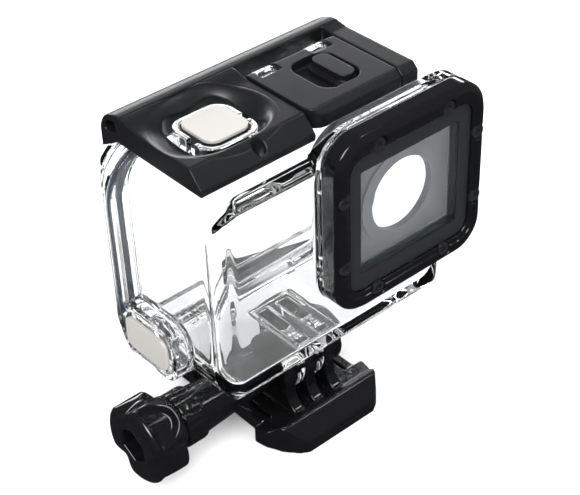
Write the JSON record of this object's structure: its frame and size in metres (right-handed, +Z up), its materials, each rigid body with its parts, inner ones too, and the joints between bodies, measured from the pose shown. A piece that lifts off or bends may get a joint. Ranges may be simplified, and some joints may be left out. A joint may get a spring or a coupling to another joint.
{
  "type": "waterproof camera housing",
  "caption": "Clear waterproof housing for a small action camera, with a flip-open latch, two push buttons, a lens window and a tilting quick-release buckle.",
  "frame": {"origin": "on the buckle's flat underside, straight below the tilt axis and the middle prong", "axes": "+X along the tilt axis to the viewer's right when the lens faces the viewer, +Y away from the lens, +Z up from the base"},
  "size_m": [0.09, 0.0461, 0.0853],
  "materials": {
    "gloss_black": "glossy black moulded nylon",
    "satin_black": "satin charcoal black moulded plastic",
    "dark_plastic": "dark moulded plastic",
    "clear_plastic": "clear polished polycarbonate",
    "lens_glass": "flat optical glass",
    "grey_plastic": "matt blue grey plastic",
    "black_rubber": "soft black rubber",
    "grey_rubber": "dark blue grey silicone",
    "steel": "stainless steel",
    "black_steel": "black oxide steel",
    "satin_silver": "fine satin warm silver",
    "brass": "turned brass"
  },
  "bodies": {
    "buckle": {"quick_release_buckle": "gloss_black", "captive_nut": "brass"},
    "thumb_screw": {"thumb_knob": "gloss_black", "thumb_bolt": "steel"},
    "housing": {"front_shell": "clear_plastic", "light_baffle": "grey_plastic", "lens_gasket": "black_rubber", "lens_glass": "lens_glass", "lens_bezel": "gloss_black", "bezel_screws": "black_steel", "door_hinge_pin": "steel", "lever_pivot_pin": "steel", "shutter_spring": "steel", "shutter_washer": "steel", "shutter_o_ring": "black_rubber", "mode_spring": "steel", "mode_washer": "steel", "mode_o_ring": "black_rubber"},
    "door": {"rear_door": "clear_plastic", "door_gasket": "grey_rubber"},
    "lever": {"latch_lever": "satin_black", "hook_pivot_pin": "steel"},
    "hook": {"latch_hook_frame": "satin_black"},
    "lock": {"lock_slider": "satin_black"},
    "shutter_button": {"shutter_cap": "satin_silver", "shutter_plunger": "dark_plastic", "shutter_clip": "steel"},
    "mode_button": {"mode_cap": "satin_silver", "mode_plunger": "clear_plastic", "mode_clip": "steel"}
  },
  "joints": [
    {"name": "mount_tilt", "type": "hinge", "parent": "buckle", "child": "housing", "pos_m": [0, 0, 0.0136], "axis": [1, 0, 0], "range_deg": [-20, 50]},
    {"name": "thumb_screw_turn", "type": "hinge", "parent": "buckle", "child": "thumb_screw", "pos_m": [0, 0, 0.0136], "axis": [1, 0, 0], "continuous": true},
    {"name": "lever_lift", "type": "hinge", "parent": "housing", "child": "lever", "pos_m": [0, 0.0123, 0.0816], "axis": [1, 0, 0], "range_deg": [-80, 0]},
    {"name": "hook_swing", "type": "hinge", "parent": "lever", "child": "hook", "pos_m": [0, -0.0045, 0.0814], "axis": [1, 0, 0], "range_deg": [0, 160]},
    {"name": "door_swing", "type": "hinge", "parent": "housing", "child": "door", "pos_m": [0, 0.0198, 0.02005], "axis": [1, 0, 0], "range_deg": [-90, 0]},
    {"name": "lock_slide", "type": "slide", "parent": "lever", "child": "lock", "axis": [-1, 0, 0], "range_m": [0, 0.004]},
    {"name": "shutter_press", "type": "slide", "parent": "housing", "child": "shutter_button", "axis": [0, 0, -1], "range_m": [0, 0.0018], "stiffness_N_per_m": 400, "springref_m": -0.001},
    {"name": "mode_press", "type": "slide", "parent": "housing", "child": "mode_button", "axis": [1, 0, 0], "range_m": [0, 0.0018], "stiffness_N_per_m": 400, "springref_m": -0.001}
  ],
  "couplings": [
    {"joint": "hook_swing", "follows": "lever_lift", "ratio": -2},
    {"joint": "door_swing", "follows": "lever_lift", "ratio": 1.125}
  ]
}
